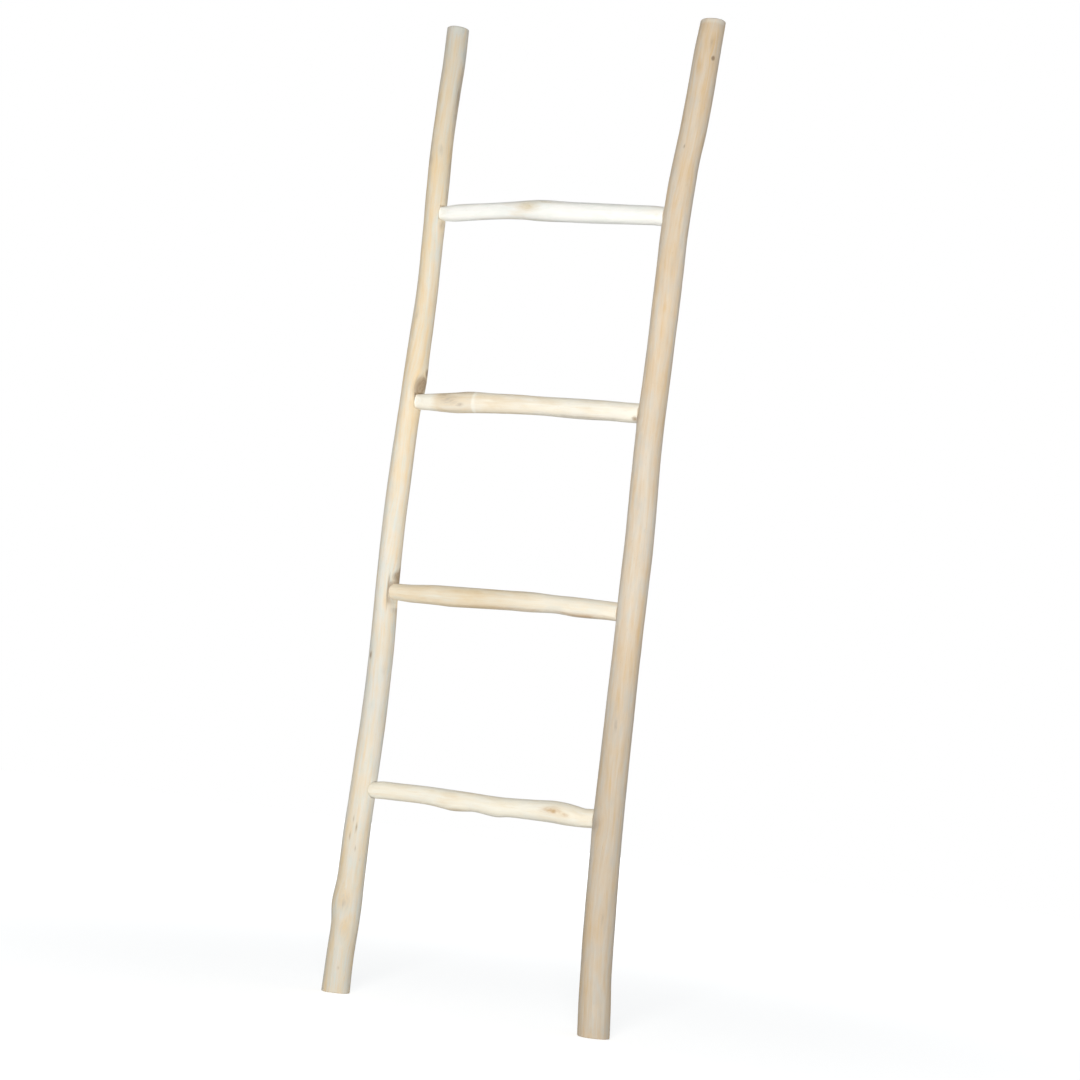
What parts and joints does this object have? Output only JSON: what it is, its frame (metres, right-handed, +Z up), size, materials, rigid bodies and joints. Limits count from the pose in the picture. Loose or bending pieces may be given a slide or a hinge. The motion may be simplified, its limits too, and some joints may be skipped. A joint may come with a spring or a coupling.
{
  "type": "blanket ladder",
  "caption": "Leaning blanket ladder of peeled, whitewashed branches, with crooked round rails and whittled rungs tenoned into them.",
  "frame": {"origin": "middle of the ladder's bounding box, level with the feet", "axes": "+Z up along the rails, +X from the left rail to the right rail as seen from the front, -Y towards the front"},
  "size_m": [0.474, 0.0498, 1.5],
  "materials": {
    "left_rail": "peeled and whitewashed, matte",
    "right_rail": "peeled and thinly whitewashed, matte",
    "rung_1": "peeled and whitewashed, matte",
    "rung_2": "peeled and whitewashed, matte",
    "rung_3": "peeled and whitewashed, matte",
    "rung_4": "peeled and whitewashed, matte",
    "joint_nails": "bright brad wire"
  },
  "bodies": {
    "root": {"left_rail": "left_rail", "right_rail": "right_rail", "rung_1": "rung_1", "rung_2": "rung_2", "rung_3": "rung_3", "rung_4": "rung_4", "joint_nails": "joint_nails"}
  },
  "joints": []
}
